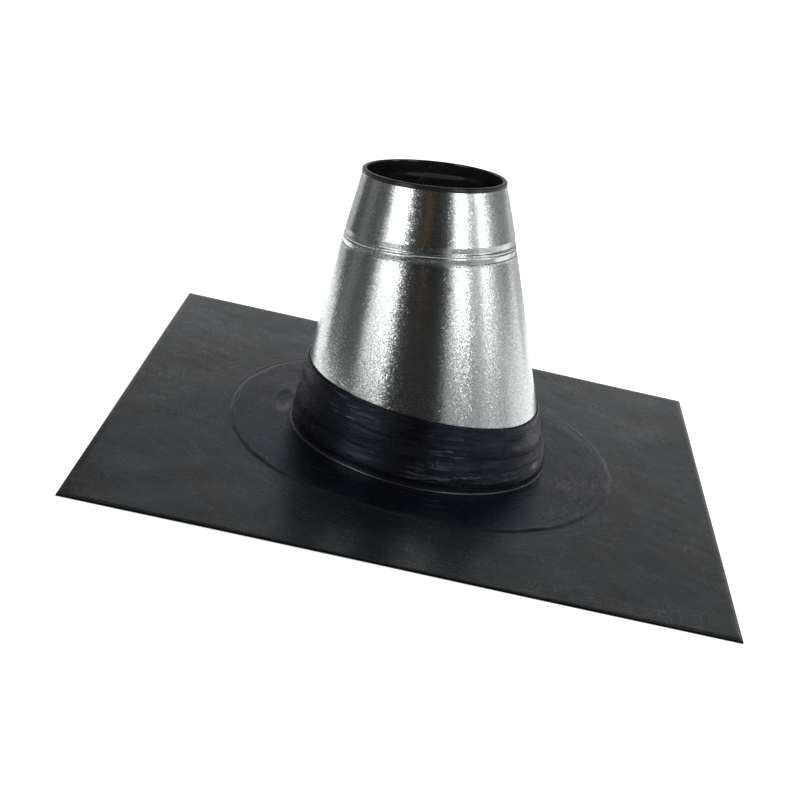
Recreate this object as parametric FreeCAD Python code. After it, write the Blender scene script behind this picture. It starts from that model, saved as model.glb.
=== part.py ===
"""Pipe flashing boot: a square lead sheet, a leaning two-part steel cone and a plastic liner.

Millimetres. +Z is up, the underside of the sheet is the plane z = 0, and the origin is the
middle of the sheet's underside. The cone leans mostly towards -X and a little towards +Y, so
that it stands upright when the sheet lies on a low-pitched roof.
"""
import FreeCAD, Part
import math
import os

V = FreeCAD.Vector

# --- lead sheet ---------------------------------------------------------------------------
sheet_length = 600.0       # along X
sheet_width = 600.0        # along Y
lead_thickness = 1.8       # code 4 sheet lead

# --- base flange of the liner, hidden under the lead ----------------------------------------
flange_radius = 195.0
flange_thickness = 1.2
flange_clearance = 0.2     # between the flange and the lead dressed over it

# --- the cone's axis ------------------------------------------------------------------------
lean = 8.5                 # degrees from upright
lean_turn = 19.5           # degrees that the way it leans is turned from -X towards +Y
axis_foot = -7.0           # x where the axis crosses the sheet's underside

# --- steel cone, heights measured along its axis ---------------------------------------------
steel_thickness = 0.6
base_radius = 131.0        # outside of the taper, carried down to the sheet's underside
joint_height = 202.2       # top of the lower taper
joint_belly = 0.7          # the taper stands this far outside a straight line at the joint
rim_height = 270.0         # top edge of the steel
steel_foot = 18.0          # the steel ends this far above the sheet's underside

# --- swaged joint between the two cones --------------------------------------------------------
band_height = 7.0          # plain band at the top of the lower cone
band_step = 1.1            # crease where the taper starts below the band
spigot_length = 13.0       # how far the upper cone reaches down inside the band
joint_clearance = 0.2      # between spigot and band, all round
joint_gap = 0.7            # open line under the flared edge
flare_height = 8.0
flare_overhang = 0.5       # the flared edge stands this far outside the band
seam_width = 7.0           # lap seam up the back of each cone
seam_height = 0.6
seam_foot = 6.0            # the seam is flattened up to this far above the collar's edge

# --- mouth of the liner ------------------------------------------------------------------------
pipe_radius = 66.5         # round seat for the pipe
seat_length = 8.0
mouth_wall = 3.4           # plastic between the seat and the steel at the rim
lip_height = 4.2           # rolled lip standing on the steel's top edge
lip_overhang = 0.5
lip_groove = 0.45          # depth of the fine groove round the lip
liner_clearance = 0.2      # between the liner and the steel at the rim
liner_wall = 2.5
spigot_clearance = 0.5     # between the liner's wall and the foot of the spigot

# --- collar, lead dressed up round the cone ------------------------------------------------------
collar_height = 69.4       # top edge, above the sheet's underside
collar_fall = 2.0          # degrees that the top edge falls on the side away from the lean
collar_clearance = 0.3     # between the steel and the lead dressed against it
crease_inset = 0.9         # crease at the collar's foot, inside the steel's base radius
crease_shift = 2.0         # the crease is set back from the axis foot, away from the lean
bulge_height = 9.0         # height of the soft bulge over the crease
bulge = 0.4                # how far it stands out over the crease
collar_rows = 7            # sections that shape the collar
ring_width = 4.0           # dressed rings where the lead steps down off the flange
ring_height = 0.45

# --- sizes that follow from the ones above ---------------------------------------------------------
sin_lean = math.sin(math.radians(lean))
cos_lean = math.cos(math.radians(lean))
recess = flange_thickness + flange_clearance
raised_top = recess + lead_thickness
crease_radius = base_radius - crease_inset
rim_radius = pipe_radius + mouth_wall + liner_clearance + steel_thickness
straight_taper = (base_radius - rim_radius) / rim_height
joint_radius = base_radius - straight_taper * joint_height + joint_belly
lower_taper = (base_radius - joint_radius) / joint_height
band_radius = joint_radius - band_step
band_top = joint_height + band_height
flare_radius = band_radius + flare_overhang
flare_foot = band_top + joint_gap
lip_top = rim_height + liner_clearance + lip_height
liner_top_radius = rim_radius - steel_thickness - liner_clearance
spigot_radius = band_radius - steel_thickness - joint_clearance
spigot_foot = band_top - spigot_length
liner_neck = spigot_radius - steel_thickness - spigot_clearance
liner_taper = (liner_neck - liner_top_radius) / (rim_height + liner_clearance - spigot_foot)
liner_base_radius = liner_neck + liner_taper * spigot_foot
below = 60.0               # overlength under the sheet, trimmed off
reach = sheet_length + sheet_width


def leaned(shape):
    """Tip a shape made round +Z over towards -X, to the cone's lean."""
    shape.rotate(V(0, 0, 0), V(0, 1, 0), -lean)
    return shape


def set_down(shape):
    """Turn a shape made round the axis foot to the way the cone leans, and set it on the sheet."""
    shape.rotate(V(0, 0, 0), V(0, 0, 1), -lean_turn)
    shape.translate(V(axis_foot, 0, 0))
    return shape


def revolved(points):
    """Solid of revolution round +Z from (radius, height) corners."""
    corners = [V(radius, 0, height) for radius, height in points]
    outline = Part.makePolygon(corners + corners[:1])
    return Part.Face(outline).revolve(V(0, 0, 0), V(0, 0, 1), 360)


def slab(bottom, top):
    """Wide slab between two heights, for trimming parallel to the sheet."""
    return Part.makeBox(2 * reach, 2 * reach, top - bottom, V(-reach, -reach, bottom))


def lower_outside(height):
    """Outside radius of the lower steel cone at a height along the axis."""
    return base_radius - lower_taper * height


def cone_section(height, offset):
    """Ellipse where a plane parallel to the sheet cuts the lower cone, grown by an offset.

    Returns how far its centre is from the axis foot, and its half lengths along and across
    the lean.
    """
    foot = base_radius + offset
    near = (height - foot * sin_lean) / (cos_lean - lower_taper * sin_lean)
    far = (height + foot * sin_lean) / (cos_lean + lower_taper * sin_lean)
    x_near = (foot - lower_taper * near) * cos_lean - near * sin_lean
    x_far = -(foot - lower_taper * far) * cos_lean - far * sin_lean
    half_x = (x_near - x_far) / 2
    ratio = sin_lean * math.sqrt(1 + lower_taper ** 2)
    return (x_near + x_far) / 2, half_x, half_x * math.sqrt(1 - ratio ** 2)


def ellipse_wire(centre_x, half_x, half_y, height):
    """Closed ellipse parallel to the sheet, long axis along X."""
    curve = Part.Ellipse(V(centre_x, 0, height), half_x, half_y)
    return Part.Wire(curve.toShape())


def seam(outside_points):
    """Straight lap seam up the back of a cone, from the cone's outside (radius, height) corners."""
    raised = [(radius + seam_height, height) for radius, height in outside_points]
    skin = revolved(outside_points + raised[::-1])
    strip = Part.makeBox(seam_width, reach, 2 * reach, V(-seam_width / 2, 0, -reach))
    return skin.common(strip)


def make_lower_cone():
    """Tapered steel cone with a plain band at its top; its foot is cut parallel to the sheet."""
    wall = steel_thickness
    outside = [
        (lower_outside(-below), -below),
        (joint_radius, joint_height),
        (band_radius, joint_height + band_step),
        (band_radius, band_top),
    ]
    inside = [(radius - wall, height) for radius, height in outside]
    cone = revolved(outside + inside[::-1])
    lap = leaned(seam([outside[0], outside[1]])).cut(slab(-reach, collar_height + seam_foot))
    return set_down(leaned(cone).cut(slab(-reach, steel_foot)).fuse(lap).removeSplitter())


def make_upper_cone():
    """Steel cone with a flared lower edge folded back into a spigot that enters the band."""
    wall = steel_thickness
    taper = (flare_radius - rim_radius) / (rim_height - flare_foot)
    flare_top = flare_foot + flare_height
    flare_top_radius = rim_radius + (taper - 0.012) * (rim_height - flare_top)
    outside = [
        (flare_radius, flare_foot + wall),
        (flare_top_radius, flare_top),
        (rim_radius, rim_height),
    ]
    body = revolved([
        (spigot_radius, spigot_foot),
        (spigot_radius, flare_foot),
        (flare_radius, flare_foot),
        *outside,
        (rim_radius - wall, rim_height),
        (flare_top_radius - wall, flare_top),
        (spigot_radius - wall, flare_foot + 2 * wall),
        (spigot_radius - wall, spigot_foot),
    ])
    body = body.fuse(seam([outside[1], outside[2]])).removeSplitter()
    return set_down(leaned(body))


def liner_inside():
    """(radius, height) corners of the liner's inside, from the pipe seat down the taper."""
    seat_foot = lip_top - seat_length
    slope_top = seat_foot - 2 * liner_wall
    return [
        (pipe_radius, seat_foot),
        (liner_base_radius - liner_taper * slope_top - liner_wall, slope_top),
        (liner_base_radius + liner_taper * below - liner_wall, -below),
    ]


def liner_outline():
    """Half section of the liner: lip with a groove and eased edges, pipe seat, tapered wall."""
    foot = rim_height + liner_clearance
    out = rim_radius + lip_overhang
    ease = lip_height * 0.25
    middle = foot + lip_height * 0.45
    groove = lip_height * 0.08
    return [
        (liner_base_radius + liner_taper * below, -below),
        (liner_top_radius, foot),
        (out, foot),
        (out, middle - groove),
        (out - lip_groove, middle),
        (out, middle + groove),
        (out, lip_top - ease),
        (out - ease / 3, lip_top - ease / 3),
        (out - ease, lip_top),
        (pipe_radius + ease, lip_top),
        (pipe_radius + ease / 3, lip_top - ease / 3),
        (pipe_radius, lip_top - ease),
        *liner_inside(),
    ]


def make_inner_sleeve():
    """Plastic liner: lip and pipe seat at the mouth, tapered wall, round base flange."""
    tube = leaned(revolved(liner_outline())).cut(slab(-reach, 0))
    flange = Part.makeCylinder(flange_radius, flange_thickness)
    flange = flange.cut(Part.makeCylinder(pipe_radius, flange_thickness))
    bore = leaned(revolved([(0, -below), *liner_inside()[::-1], (0, liner_inside()[0][1])]))
    return set_down(tube).fuse(flange).cut(set_down(bore)).removeSplitter()


def raised_disc():
    """Area of the sheet lifted over the flange, stepping down through two dressed rings."""
    return revolved([
        (0, 0),
        (flange_radius + 2 * ring_width, 0),
        (flange_radius + 2 * ring_width, lead_thickness),
        (flange_radius + ring_width, lead_thickness + ring_height),
        (flange_radius, raised_top - ring_height),
        (flange_radius - ring_width, raised_top - ring_height / 3),
        (flange_radius - 2 * ring_width, raised_top + ring_height),
        (flange_radius - 3 * ring_width, raised_top),
        (0, raised_top),
    ])


def collar_row(height, inset):
    """Ellipse round the collar at a height, inset from its outside.

    It is a circle at the crease, swells softly over it and then follows the leaning cone.
    """
    grow = collar_clearance + lead_thickness
    rise = min(1, (height - raised_top) / (2 * bulge_height))
    blend = rise * rise * (3 - 2 * rise)
    swell = 4 * bulge * rise * (1 - rise) - inset
    centre_x, half_x, half_y = cone_section(height, grow)
    centre_x = crease_shift + (centre_x - crease_shift) * blend
    half_x = crease_radius + (half_x - crease_radius) * blend + swell
    half_y = crease_radius + (half_y - crease_radius) * blend + swell
    return ellipse_wire(centre_x, half_x, half_y, height)


def annulus(outer, inner):
    """Flat ring between two closed wires."""
    return Part.Face(outer).cut(Part.Face(inner)).Faces


def joined(faces):
    """Solid closed by faces that meet along their edges."""
    shell = Part.makeShell(faces)
    shell.sewShape()
    return Part.Solid(shell).removeSplitter()


def is_upright_wall(face, radius):
    """True for a round wall of the given radius."""
    return face.Surface.TypeId == "Part::GeomCylinder" and abs(face.Surface.Radius - radius) < 1e-6


def collar_faces():
    """Lead wall dressed up round the cone: outside, inside and sloping top edge, open below."""
    top = collar_height * 1.2
    heights = [raised_top + (top - raised_top) * i / collar_rows for i in range(collar_rows + 1)]
    outer = [collar_row(height, 0) for height in heights]
    inner = [collar_row(height, lead_thickness) for height in heights]
    faces = Part.makeLoft(outer, False, True).Faces + Part.makeLoft(inner, False, True).Faces
    faces += annulus(outer[0], inner[0]) + annulus(outer[-1], inner[-1])
    above = slab(0, reach)
    above.rotate(V(0, 0, 0), V(0, 1, 0), collar_fall)
    above.translate(V(0, 0, collar_height))
    wall = set_down(Part.Solid(Part.makeShell(faces)).cut(above))
    return [face for face in wall.Faces if face.BoundBox.ZMax > raised_top + lead_thickness]


def make_lead_flashing():
    """Flat square sheet, raised over the flange, turned up at the crease into the collar."""
    corner = V(-sheet_length / 2, -sheet_width / 2, 0)
    sheet = Part.makeBox(sheet_length, sheet_width, lead_thickness, corner)
    sheet = sheet.fuse(raised_disc())
    sheet = sheet.cut(Part.makeCylinder(flange_radius + flange_clearance, recess))
    sheet = sheet.cut(set_down(Part.makeCylinder(crease_radius, raised_top, V(crease_shift, 0, 0))))
    faces = [face for face in sheet.Faces if not is_upright_wall(face, crease_radius)]

    foot = V(crease_shift, 0, recess)
    inside_radius = crease_radius - lead_thickness
    bend = set_down(Part.makeCylinder(inside_radius, lead_thickness, foot))
    faces += [face for face in bend.Faces if is_upright_wall(face, inside_radius)]
    outer_circle = set_down(Part.Wire(Part.makeCircle(crease_radius, foot)))
    inner_circle = set_down(Part.Wire(Part.makeCircle(inside_radius, foot)))
    faces += annulus(outer_circle, inner_circle)
    return joined(faces + collar_faces())


def main():
    os.makedirs("parts", exist_ok=True)
    pieces = {
        "lead_flashing": make_lead_flashing(),
        "lower_cone": make_lower_cone(),
        "upper_cone": make_upper_cone(),
        "inner_sleeve": make_inner_sleeve(),
    }
    for name, shape in pieces.items():
        solid = shape.Solids[0]
        print(name, len(shape.Solids), solid.isValid(), round(solid.Volume), solid.BoundBox)
        solid.exportStep("parts/" + name + ".step")


main()
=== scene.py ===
# %% [markdown]
# # Pipe flashing boot
# A square of sheet lead carries a leaning steel cone. A black plastic liner runs up through the
# cone and turns over its top as a lip. Lead is dressed up round the foot of the cone as a collar.
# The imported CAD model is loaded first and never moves. The visible pieces are computed around it
# in the same frame, in metres.

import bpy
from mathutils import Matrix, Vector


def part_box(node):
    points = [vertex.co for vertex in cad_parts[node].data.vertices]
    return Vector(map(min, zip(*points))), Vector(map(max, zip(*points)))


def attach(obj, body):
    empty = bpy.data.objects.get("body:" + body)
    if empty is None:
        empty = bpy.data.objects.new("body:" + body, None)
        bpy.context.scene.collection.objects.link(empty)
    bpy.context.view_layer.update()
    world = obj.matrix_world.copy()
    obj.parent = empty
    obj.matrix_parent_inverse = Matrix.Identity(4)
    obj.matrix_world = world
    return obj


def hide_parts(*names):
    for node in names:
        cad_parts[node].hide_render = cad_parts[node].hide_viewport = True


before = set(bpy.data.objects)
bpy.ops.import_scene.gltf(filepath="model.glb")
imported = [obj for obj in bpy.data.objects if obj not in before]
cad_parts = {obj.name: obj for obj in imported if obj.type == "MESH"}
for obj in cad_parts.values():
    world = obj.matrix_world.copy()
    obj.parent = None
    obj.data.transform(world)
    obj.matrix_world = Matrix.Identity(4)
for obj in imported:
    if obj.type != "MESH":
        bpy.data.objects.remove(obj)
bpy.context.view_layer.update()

import math
import bpy
import numpy as np
from mathutils import Vector

# %% [markdown]
# ## Sizes
# Every radius and height repeats a dimension of the CAD model, in metres. Heights on the steel and
# the liner run along the cone's own axis. The axis leans, and the direction of the lean is turned a
# little, so two small helpers carry a point from the cone's own space to the frame.

# %% Sizes shared by all the pieces
MM = 0.001
LEAN = math.radians(8.5)
LEAN_TURN = math.radians(19.5)
AXIS_FOOT = -7.0 * MM

low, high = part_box("lead_flashing")
HALF_SHEET = (high.x - low.x) / 2
LEAD = 1.8 * MM
RECESS = 1.4 * MM
RAISED = RECESS + LEAD
FLANGE = 195.0 * MM
CREASE = 130.1 * MM
CREASE_SHIFT = 2.0 * MM

BASE = 131.0 * MM
JOINT_HEIGHT = 202.2 * MM
JOINT_RADIUS = 86.6 * MM
RIM_HEIGHT = 270.0 * MM
STEEL = 0.6 * MM
STEEL_FOOT = 18.0 * MM
LOWER_TAPER = (BASE - JOINT_RADIUS) / JOINT_HEIGHT


def leaned(radius, height, angle):
    """Point at a radius and an angle round the leaning axis, at a height along it.

    The point is first placed round an upright axis as x = r cos(angle), y = r sin(angle), and the
    axis is then tipped towards -x by the lean.
    """
    x = radius * np.cos(angle)
    y = radius * np.sin(angle)
    return x * math.cos(LEAN) - height * math.sin(LEAN), y, \
        x * math.sin(LEAN) + height * math.cos(LEAN)


def set_down(x, y, z):
    """Turn points round the axis foot by the lean's turn, and move them to the foot.

    x' = x cos(turn) + y sin(turn) + foot, y' = y cos(turn) - x sin(turn), z' = z.
    """
    c, s = math.cos(LEAN_TURN), math.sin(LEAN_TURN)
    x, y, z = np.broadcast_arrays(x, y, z)
    return np.stack([x * c + y * s + AXIS_FOOT, y * c - x * s, z], axis=-1)


print("sheet half width", round(HALF_SHEET, 4), "taper", round(LOWER_TAPER, 4))

# %% [markdown]
# ## One grid, one skin
# Each piece is a sheet of material with an outside and an inside. Its cross section is a closed
# line, and that line goes once round the cone, so the whole piece is one closed grid: rows follow
# the cross section and columns go round. Closing the grid in both directions leaves no seam, no
# pole and no open edge, and every face looks outwards.

# %% Helpers that turn a grid of points into a piece
COLUMNS = 576
AROUND = np.arange(COLUMNS) * 2 * np.pi / COLUMNS


def skin(name, points, material, node):
    """Closed piece from a (rows, columns, 3) grid whose rows and columns both wrap round.

    The face at (i, j) joins (i, j), (i, j + 1), (i + 1, j + 1) and (i + 1, j). The volume, a third
    of the sum of centre . normal over the faces, tells whether the faces have to be turned.
    """
    rows, columns, _ = points.shape
    index = np.arange(rows * columns).reshape(rows, columns)
    right = np.roll(index, -1, axis=1)
    corners = [index, right, np.roll(right, -1, axis=0), np.roll(index, -1, axis=0)]
    faces = np.stack(corners, axis=-1).reshape(-1, 4)
    flat = points.reshape(-1, 3)
    a, b, c, d = (flat[faces[:, k]] for k in range(4))
    volume = np.sum((a + b + c + d) * np.cross(c - a, d - b)) / 24
    if volume < 0:
        faces = faces[:, ::-1]
    mesh = bpy.data.meshes.new(name)
    mesh.from_pydata(flat.tolist(), [], faces.tolist())
    mesh.polygons.foreach_set("use_smooth", np.ones(len(faces), bool))
    mesh.materials.append(material)
    piece = bpy.data.objects.new(name, mesh)
    bpy.context.scene.collection.objects.link(piece)
    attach(piece, "root")
    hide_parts(node)
    print(name, 2 * len(faces), "triangles,", round(abs(volume) * 1e6, 1), "cm3")


def hills(rows, columns, row_size, column_size, seed):
    """Smooth random relief on a grid, periodic both ways, with a spread of 1.

    White noise is filtered in frequency by exp(-2 (f row_size)^2 - 2 (g column_size)^2), so its
    hills are about row_size rows and column_size columns across.
    """
    noise = np.random.default_rng(seed).standard_normal((rows, columns))
    f = np.fft.fftfreq(rows)[:, None] * row_size
    g = np.fft.fftfreq(columns)[None, :] * column_size
    relief = np.fft.ifft2(np.fft.fft2(noise) * np.exp(-2 * (f ** 2 + g ** 2))).real
    return relief / relief.std()


def waves(x, y, length, seed):
    """Gentle swell over a plane: half the sum of seven sine waves of about one length, each with
    its own random direction and start."""
    random = np.random.default_rng(seed)
    total = np.zeros(np.broadcast(x, y).shape)
    for turn, start, stretch in random.uniform(0, 1, (7, 3)):
        way = x * math.cos(turn * 2 * math.pi) + y * math.sin(turn * 2 * math.pi)
        total += np.sin(way * 2 * math.pi / (length * (0.6 + stretch)) + start * 2 * math.pi)
    return total / 2


def smooth_step(value, start, end):
    """0 before start, 1 after end, and 3t^2 - 2t^3 in between."""
    t = np.clip((value - start) / (end - start), 0, 1)
    return t * t * (3 - 2 * t)


print("columns round each piece", COLUMNS)

# %% [markdown]
# ## Node helpers
# Materials are built in code. `wire` adds a node, sets its named inputs and links the ones that are
# given as sockets. Effects that more than one finish needs are node groups with named inputs.

# %% Helpers for building materials
def wire(tree, kind, inputs=(), **settings):
    """Add a node to a tree, set its settings, and set or link each input in turn."""
    node = tree.nodes.new(kind)
    for key, value in settings.items():
        setattr(node, key, value)
    for key, value in dict(inputs).items():
        if isinstance(value, bpy.types.NodeSocket):
            tree.links.new(value, node.inputs[key])
        else:
            node.inputs[key].default_value = value
    return node


def new_group(name, inputs, outputs):
    """Shader node group with named sockets; returns its tree, its inside input and output."""
    tree = bpy.data.node_groups.new(name, "ShaderNodeTree")
    kinds = {"value": "NodeSocketFloat", "vector": "NodeSocketVector", "colour": "NodeSocketColor"}
    for label, kind, start in inputs:
        socket = tree.interface.new_socket(label, in_out="INPUT", socket_type=kinds[kind])
        socket.default_value = start
    for label, kind in outputs:
        tree.interface.new_socket(label, in_out="OUTPUT", socket_type=kinds[kind])
    return tree, tree.nodes.new("NodeGroupInput").outputs, tree.nodes.new("NodeGroupOutput").inputs


def put(tree, group, **inputs):
    """Place a shared effect in a material; underscores in names stand for spaces."""
    values = {key.replace("_", " "): value for key, value in inputs.items()}
    return wire(tree, "ShaderNodeGroup", values, node_tree=group).outputs


def maths(tree, operation, a, b=0.0, c=0.0):
    """One Math node; a, b and c are numbers or sockets."""
    return wire(tree, "ShaderNodeMath", {0: a, 1: b, 2: c}, operation=operation).outputs[0]


def vectors(tree, operation, a, b=(0, 0, 0)):
    """One Vector Math node; its vector result."""
    return wire(tree, "ShaderNodeVectorMath", {0: a, 1: b}, operation=operation).outputs[0]


def blend(tree, share, a, b):
    """Colour mixed from a to b by a share from 0 to 1."""
    node = wire(tree, "ShaderNodeMix", {0: share, 6: a, 7: b}, data_type="RGBA")
    return node.outputs[2]


def between(tree, value, low, high, out_low=0.0, out_high=1.0):
    """Map Range: value from low..high to out_low..out_high, held at the ends."""
    ends = {0: value, 1: low, 2: high, 3: out_low, 4: out_high}
    return wire(tree, "ShaderNodeMapRange", ends).outputs[0]


def noise(tree, place, scale, detail=3.0, rough=0.5, bend=0.0):
    """Noise texture at a place; returns its value socket."""
    values = {"Vector": place, "Scale": scale, "Detail": detail, "Roughness": rough,
              "Distortion": bend}
    return wire(tree, "ShaderNodeTexNoise", values).outputs["Fac"]


def finish(name):
    """New material; returns it, its tree, its Principled shader and the Object coordinates."""
    material = bpy.data.materials.new(name)
    material.use_nodes = True
    tree = material.node_tree
    place = tree.nodes.new("ShaderNodeTexCoord").outputs["Object"]
    return material, tree, tree.nodes["Principled BSDF"], place


print("node helpers ready")

# %% [markdown]
# ## Effects used by several finishes
# *Round the cone* gives each point its distance from an upright axis and a place for noise that is
# drawn out round that axis, so that marks can follow the hand that made them. *Fine scratches* are
# thin random lines. *Mottle* is the cloudy change of tone that handled metal has.

# %% Shared node groups
def make_round_the_cone():
    """Distance r from an upright axis through Centre, and height z above Centre.

    Ring Place is (0.13 x / r, 0.13 y / r, 6 r + 9 z): noise read there changes slowly round the
    axis and quickly across it.
    """
    tree, inside, out = new_group(
        "round_the_cone",
        [("Place", "vector", (0, 0, 0)), ("Centre", "vector", (0, 0, 0))],
        [("Distance", "value"), ("Height", "value"), ("Ring Place", "vector")],
    )
    offset = vectors(tree, "SUBTRACT", inside["Place"], inside["Centre"])
    part = wire(tree, "ShaderNodeSeparateXYZ", {0: offset}).outputs
    flat = wire(tree, "ShaderNodeCombineXYZ", {0: part[0], 1: part[1]}).outputs[0]
    distance = wire(tree, "ShaderNodeVectorMath", {0: flat}, operation="LENGTH").outputs["Value"]
    unit = vectors(tree, "NORMALIZE", flat)
    spread = wire(tree, "ShaderNodeVectorMath", {0: unit, "Scale": 0.13}, operation="SCALE")
    edge = wire(tree, "ShaderNodeSeparateXYZ", {0: spread.outputs[0]}).outputs
    radial = maths(tree, "MULTIPLY_ADD", distance, 6.0, maths(tree, "MULTIPLY", part[2], 9.0))
    ring = wire(tree, "ShaderNodeCombineXYZ", {0: edge[0], 1: edge[1], 2: radial}).outputs[0]
    for label, socket in (("Distance", distance), ("Height", part[2]), ("Ring Place", ring)):
        tree.links.new(socket, out[label])
    return tree


def make_fine_scratches():
    """Thin lines where a warped, stretched noise crosses its middle value."""
    tree, inside, out = new_group(
        "fine_scratches",
        [("Place", "vector", (0, 0, 0)), ("Scale", "value", 20.0), ("Thinness", "value", 0.02)],
        [("Lines", "value")],
    )
    first = wire(tree, "ShaderNodeMapping", {"Vector": inside["Place"], "Scale": (1, 9, 1),
                                             "Rotation": (0, 0, 0.5)}).outputs[0]
    second = wire(tree, "ShaderNodeMapping", {"Vector": inside["Place"], "Scale": (11, 1, 1),
                                              "Rotation": (0, 0, 0.2)}).outputs[0]
    total = None
    for place in (first, second):
        value = noise(tree, place, inside["Scale"], 2.0, 0.4, 0.6)
        away = maths(tree, "ABSOLUTE", maths(tree, "SUBTRACT", value, 0.5))
        line = maths(tree, "SUBTRACT", 1.0, maths(tree, "DIVIDE", away, inside["Thinness"]))
        line = maths(tree, "MAXIMUM", line, 0.0)
        total = line if total is None else maths(tree, "MAXIMUM", total, line)
    patches = between(tree, noise(tree, inside["Place"], 9.0), 0.5, 0.68)
    tree.links.new(maths(tree, "MULTIPLY", total, patches), out["Lines"])
    return tree


def make_mottle():
    """Two sizes of cloud mixed, as a mask from 0 to 1."""
    tree, inside, out = new_group(
        "mottle",
        [("Place", "vector", (0, 0, 0)), ("Scale", "value", 8.0), ("Contrast", "value", 0.3)],
        [("Mask", "value")],
    )
    large = noise(tree, inside["Place"], inside["Scale"], 5.0, 0.55, 0.4)
    finer = maths(tree, "MULTIPLY", inside["Scale"], 7.0)
    small = noise(tree, inside["Place"], finer, 4.0, 0.6)
    both = maths(tree, "MULTIPLY_ADD", small, 0.35, maths(tree, "MULTIPLY", large, 0.65))
    centred = maths(tree, "SUBTRACT", both, 0.5)
    spread = maths(tree, "DIVIDE", centred, inside["Contrast"])
    value = maths(tree, "MULTIPLY_ADD", spread, 0.5, 0.5)
    tree.links.new(wire(tree, "ShaderNodeClamp", {0: value}).outputs[0], out["Mask"])
    return tree


ROUND = make_round_the_cone()
SCRATCHES = make_fine_scratches()
MOTTLE = make_mottle()
print("groups", [g.name for g in bpy.data.node_groups])

# %% [markdown]
# ## Sheet lead
# Old sheet lead is a dark blue-grey with a dull shine and brown stains. Where it was beaten and
# rubbed round the cone it is darker and bluer, with long streaks that run round, and the burnished
# ridges catch the light. A thin lighter band round the foot of the collar is a painted highlight.
# Along two sides a lighter line just inside the cut edge is a painted highlight, and the edge
# itself is painted near black as shade. The streaks are noise stretched along the way round, so
# they bend with the piece. The other way would be a painted image, which would need a flat layout
# of the whole sheet.

# %% Lead finish
SHEET_DARK, SHEET_LIGHT = (0.030, 0.040, 0.048, 1), (0.090, 0.106, 0.116, 1)
RUBBED_DARK, RUBBED_LIGHT = (0.019, 0.023, 0.041, 1), (0.036, 0.042, 0.072, 1)
COLLAR_DARK, COLLAR_LIGHT = (0.008, 0.009, 0.012, 1), (0.024, 0.026, 0.037, 1)
BROWN_STAIN, GREY_GRIME = (0.068, 0.062, 0.055, 1), (0.040, 0.046, 0.052, 1)
# The first colour on the next line is a painted highlight for the crease at the collar's foot.
CREASE_HIGHLIGHT, DARK_GRAIN = (0.090, 0.093, 0.100, 1), (0.012, 0.013, 0.015, 1)
WORN_STREAK, BRIGHT_SCRATCH = (0.150, 0.160, 0.190, 1), (0.22, 0.225, 0.22, 1)
# Edge pair: the first is a painted highlight beside the cut edge, the second is painted shade on
# the edge.
EDGE_HIGHLIGHT, EDGE_SHADE = (0.22, 0.23, 0.235, 1), (0.006, 0.006, 0.007, 1)
RUBBED_FROM, RUBBED_TO = 0.218, 0.206
STREAKS_FROM, STREAKS_TO = 0.285, 0.215
# Heights, in metres, over which the painted crease highlight comes in.
CREASE_HIGHLIGHT_FROM, CREASE_HIGHLIGHT_TO = 0.0034, 0.0042
WALL_FROM, WALL_TO = 0.0045, 0.010


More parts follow.
